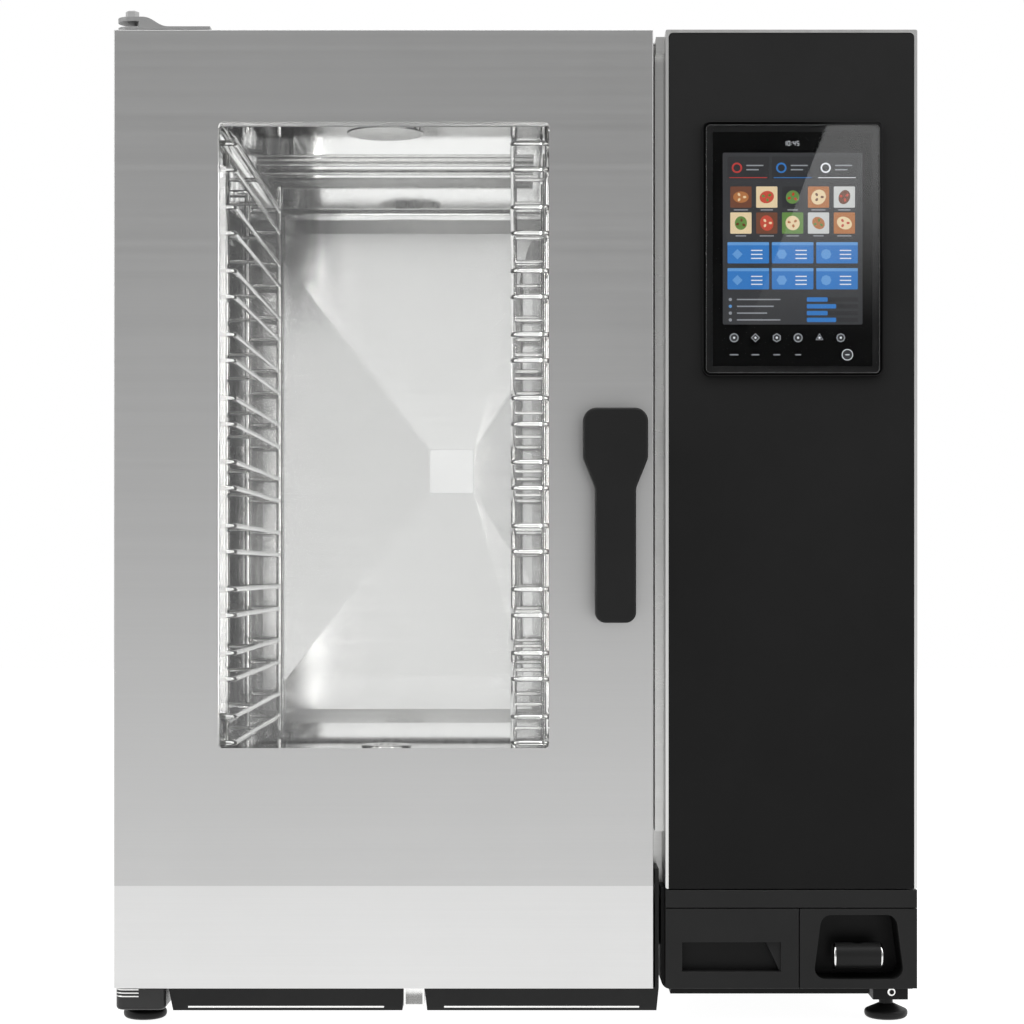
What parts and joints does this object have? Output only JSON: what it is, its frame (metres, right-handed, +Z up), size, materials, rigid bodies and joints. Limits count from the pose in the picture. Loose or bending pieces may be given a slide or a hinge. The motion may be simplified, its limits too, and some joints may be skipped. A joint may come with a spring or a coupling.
{
  "type": "combi steamer oven",
  "caption": "Countertop combi steamer oven with hinged glass door, side racks, touch screen column, tablet drawer, hand shower and drip channels",
  "frame": {"origin": "on the floor under the middle of the whole oven", "axes": "+X to the right of someone facing the door, +Y back from the door, +Z up"},
  "size_m": [0.852, 0.893, 1.085],
  "materials": {
    "housing_steel": "satin",
    "bright_steel": "polished",
    "frame_steel": "satin",
    "cavity_steel": "satin",
    "mineral_wool": "matte",
    "seal_rubber": "matte",
    "rack_wire": "polished",
    "baffle_steel": "satin",
    "coil_steel": "heat-tinted",
    "motor_aluminium": "cast",
    "black_plastic": "matte",
    "door_steel": "satin",
    "door_frame_steel": "satin",
    "clear_glass": "clear",
    "light_lens": "frosted",
    "bush_steel": "turned",
    "bracket_steel": "satin",
    "black_paint": "powder coated",
    "handle_plastic": "fine texture",
    "foot_plastic": "matte",
    "column_steel": "satin",
    "fascia_black": "satin",
    "screen_cover": "gloss",
    "display_black": "gloss",
    "hose_rubber": "matte",
    "channel_black": "powder coated",
    "valve_brass": "machined"
  },
  "bodies": {
    "cabinet": {"base_pan": "housing_steel", "left_side_panel": "housing_steel", "right_side_panel": "housing_steel", "top_panel": "housing_steel", "rear_panel": "housing_steel", "screws": "bright_steel", "front_frame": "frame_steel", "cavity": "cavity_steel", "cavity_insulation": "mineral_wool", "door_seal": "seal_rubber", "ceiling_vent_cap": "cavity_steel", "left_rack": "rack_wire", "right_rack": "rack_wire", "fan_baffle": "baffle_steel", "heating_coils": "coil_steel", "fan_motor": "motor_aluminium", "vent_pipe": "bright_steel", "vent_actuator": "black_plastic", "drain_strainer": "bright_steel", "drain_pipe": "housing_steel", "hinge_pins": "bright_steel", "top_hinge_bracket": "bracket_steel", "bottom_hinge_bracket": "black_paint", "latch_keeper": "bright_steel", "foot_brackets": "black_paint", "control_housing": "column_steel", "control_fascia": "fascia_black", "screen_bezel": "fascia_black", "screen_glass": "screen_cover", "display_module": "display_black", "lower_trim_band": "fascia_black", "lower_housing": "black_plastic", "shower_pocket": "fascia_black", "hose_reel": "black_plastic", "drip_channels": "channel_black", "drip_channel_clip": "bright_steel", "power_module": "motor_aluminium", "water_valve": "valve_brass", "cable_gland": "black_plastic"},
    "door": {"door_skin": "door_steel", "outer_glass": "clear_glass", "door_inner_frame": "door_frame_steel", "door_insulation": "mineral_wool", "inner_glass": "clear_glass", "inner_glass_seal": "seal_rubber", "door_lights": "light_lens", "hinge_bushes": "bush_steel"},
    "handle": {"door_handle": "handle_plastic", "handle_spindle": "bright_steel"},
    "drawer": {"drawer_front": "fascia_black", "drawer_tray": "black_plastic"},
    "shower": {"shower_head": "handle_plastic", "shower_end_rings": "bright_steel", "shower_hose": "hose_rubber"},
    "fan": {"fan_wheel": "cavity_steel"},
    "flap": {"vent_flap": "bright_steel"},
    "foot_front_left": {"foot_front_left": "foot_plastic"},
    "foot_front_right": {"foot_front_right": "foot_plastic"},
    "foot_rear_left": {"foot_rear_left": "foot_plastic"},
    "foot_rear_right": {"foot_rear_right": "foot_plastic"}
  },
  "joints": [
    {"name": "door_swing", "type": "hinge", "parent": "cabinet", "child": "door", "pos_m": [-0.411, -0.3605, 0.5485], "axis": [0, 0, -1], "range_deg": [0, 180]},
    {"name": "handle_turn", "type": "hinge", "parent": "door", "child": "handle", "pos_m": [0.104, -0.3905, 0.628], "axis": [0, 1, 0], "range_deg": [-60, 60], "stiffness_Nm_per_rad": 1.2},
    {"name": "drawer_slide", "type": "slide", "parent": "cabinet", "child": "drawer", "axis": [0, -1, 0], "range_m": [0, 0.3]},
    {"name": "shower_pull", "type": "slide", "parent": "cabinet", "child": "shower", "axis": [0, -1, 0], "range_m": [0, 0.08], "stiffness_N_per_m": 20},
    {"name": "fan_spin", "type": "hinge", "parent": "cabinet", "child": "fan", "pos_m": [-0.085, 0.2695, 0.615], "axis": [0, 1, 0], "continuous": true},
    {"name": "vent_flap_turn", "type": "hinge", "parent": "cabinet", "child": "flap", "pos_m": [-0.156, -0.0545, 1.04], "axis": [1, 0, 0], "range_deg": [0, 90]},
    {"name": "foot_front_left_adjust", "type": "slide", "parent": "cabinet", "child": "foot_front_left", "axis": [0, 0, -1], "range_m": [0, 0.01]},
    {"name": "foot_front_right_adjust", "type": "slide", "parent": "cabinet", "child": "foot_front_right", "axis": [0, 0, -1], "range_m": [0, 0.01]},
    {"name": "foot_rear_left_adjust", "type": "slide", "parent": "cabinet", "child": "foot_rear_left", "axis": [0, 0, -1], "range_m": [0, 0.01]},
    {"name": "foot_rear_right_adjust", "type": "slide", "parent": "cabinet", "child": "foot_rear_right", "axis": [0, 0, -1], "range_m": [0, 0.01]}
  ]
}
